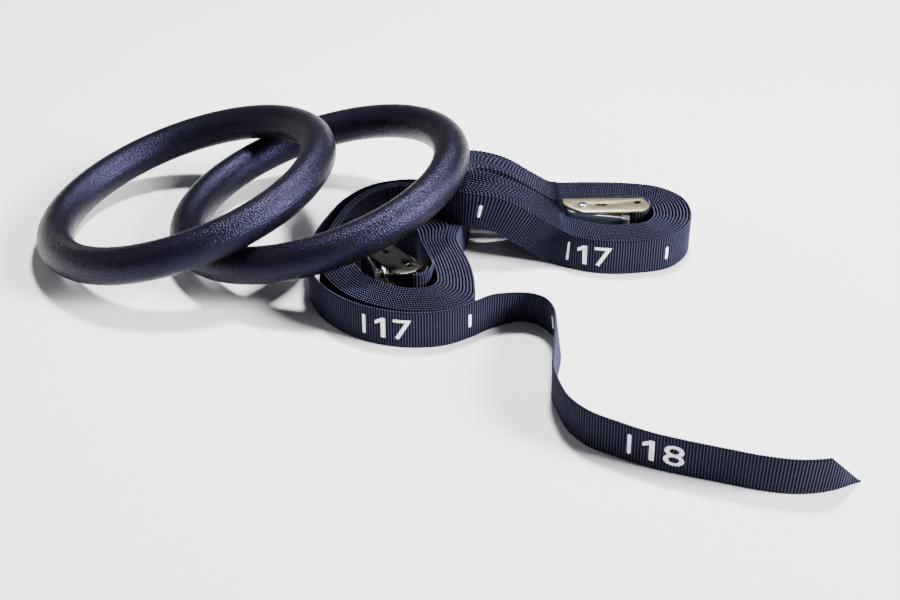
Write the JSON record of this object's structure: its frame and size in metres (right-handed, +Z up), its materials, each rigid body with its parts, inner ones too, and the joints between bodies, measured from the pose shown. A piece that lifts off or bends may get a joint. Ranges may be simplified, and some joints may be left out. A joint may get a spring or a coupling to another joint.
{
  "type": "gymnastic rings",
  "caption": "Pair of moulded plastic gymnastic rings lying on two coiled webbing straps with cam buckles, one strap's free tail trailing out.",
  "frame": {"origin": "middle of the whole group's box, at floor level", "axes": "+X to the right along the group's longest side, +Y away from the viewer, +Z up from the floor"},
  "size_m": [0.5527, 0.4248, 0.0842],
  "materials": {
    "ring_plastic": "black plastic moulded with a fine pebbled grain",
    "strap_webbing": "black woven webbing with cross ribs and white printed length marks",
    "front_buckle_plate": "zinc plated, polished",
    "rear_buckle_plate": "zinc plated, warm satin",
    "lever_steel": "bright plated, cool tone",
    "pin_steel": "bright plated",
    "thumb_pad": "black moulded plastic"
  },
  "bodies": {
    "front_strap": {"front_strap_coil": "strap_webbing", "front_strap_tail": "strap_webbing", "front_frame": "front_buckle_plate", "front_cam_axle": "pin_steel", "front_anchor_pin": "pin_steel", "front_lever_spring": "pin_steel"},
    "front_lever": {"front_cam_lever": "lever_steel", "front_thumb_pad": "thumb_pad"},
    "rear_strap": {"rear_strap_coil": "strap_webbing", "rear_frame": "rear_buckle_plate", "rear_cam_axle": "pin_steel", "rear_anchor_pin": "pin_steel", "rear_lever_spring": "pin_steel"},
    "rear_lever": {"rear_cam_lever": "lever_steel", "rear_thumb_pad": "thumb_pad"},
    "right_ring": {"right_ring_upper_shell": "ring_plastic", "right_ring_lower_shell": "ring_plastic"},
    "left_ring": {"left_ring_upper_shell": "ring_plastic", "left_ring_lower_shell": "ring_plastic"}
  },
  "joints": [
    {"name": "front_lever_press", "type": "hinge", "parent": "front_strap", "child": "front_lever", "pos_m": [-0.0188, 0.0278, 0.01725], "axis": [0, 0, 1], "range_deg": [0, 20], "stiffness_Nm_per_rad": 0.3, "springref_deg": -28.65, "deforming": ["front_lever_spring"]},
    {"name": "rear_lever_press", "type": "hinge", "parent": "rear_strap", "child": "rear_lever", "pos_m": [0.1345, 0.0853, 0.01725], "axis": [0, 0, 1], "range_deg": [0, 20], "stiffness_Nm_per_rad": 0.3, "springref_deg": -28.65, "deforming": ["rear_lever_spring"]},
    {"name": "rear_strap_lift", "type": "slide", "parent": "front_strap", "child": "rear_strap", "axis": [0, 0, 1], "range_m": [0, 0.12]},
    {"name": "right_ring_lift", "type": "slide", "parent": "rear_strap", "child": "right_ring", "axis": [0, 0, 1], "range_m": [0, 0.12]},
    {"name": "left_ring_lift", "type": "slide", "parent": "right_ring", "child": "left_ring", "axis": [0, 0, 1], "range_m": [0, 0.12]}
  ]
}
